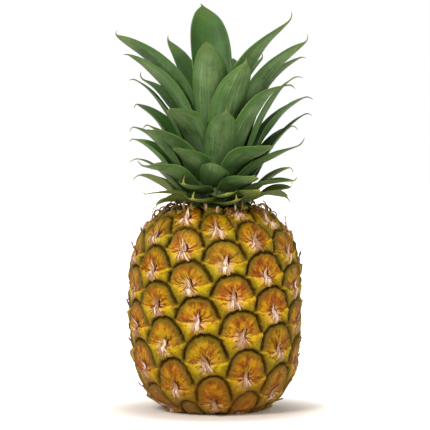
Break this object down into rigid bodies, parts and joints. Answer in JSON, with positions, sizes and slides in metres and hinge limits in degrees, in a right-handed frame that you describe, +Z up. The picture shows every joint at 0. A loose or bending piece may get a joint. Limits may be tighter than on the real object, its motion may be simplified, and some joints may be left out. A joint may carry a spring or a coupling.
{
  "type": "pineapple",
  "caption": "Whole ripe pineapple standing on its base: barrel-shaped fruit with a spiral of eyes and a full crown of leaves.",
  "frame": {"origin": "centre of the flat base that the fruit stands on, on the fruit's axis", "axes": "+Z up along the fruit's axis from base to crown; -Y is the side that faces a viewer in front, +X to the viewer's right"},
  "size_m": [0.1406, 0.1244, 0.2955],
  "materials": {
    "rind": "satin",
    "cut_fibre": "matte",
    "stem": "matte",
    "leaf": "satin"
  },
  "bodies": {
    "root": {"fruit": "rind", "cut_stalk": "cut_fibre", "crown_stem": "stem", "leaf_01": "leaf", "leaf_02": "leaf", "leaf_03": "leaf", "leaf_04": "leaf", "leaf_05": "leaf", "leaf_06": "leaf", "leaf_07": "leaf", "leaf_08": "leaf", "leaf_09": "leaf", "leaf_10": "leaf", "leaf_11": "leaf", "leaf_12": "leaf", "leaf_13": "leaf", "leaf_14": "leaf", "leaf_15": "leaf", "leaf_16": "leaf", "leaf_17": "leaf", "leaf_18": "leaf", "leaf_19": "leaf", "leaf_20": "leaf", "leaf_21": "leaf", "leaf_22": "leaf", "leaf_23": "leaf", "leaf_24": "leaf", "leaf_25": "leaf", "leaf_26": "leaf", "leaf_27": "leaf", "leaf_28": "leaf", "leaf_29": "leaf", "leaf_30": "leaf", "leaf_31": "leaf", "leaf_32": "leaf", "leaf_33": "leaf", "leaf_34": "leaf", "leaf_35": "leaf", "leaf_36": "leaf", "leaf_37": "leaf", "leaf_38": "leaf", "leaf_39": "leaf", "leaf_40": "leaf", "leaf_41": "leaf", "leaf_42": "leaf", "leaf_43": "leaf", "leaf_44": "leaf", "leaf_45": "leaf", "leaf_46": "leaf", "leaf_47": "leaf", "leaf_48": "leaf", "leaf_49": "leaf", "leaf_50": "leaf", "leaf_51": "leaf", "leaf_52": "leaf", "leaf_53": "leaf", "leaf_54": "leaf", "leaf_55": "leaf", "leaf_56": "leaf", "leaf_57": "leaf"}
  },
  "joints": []
}
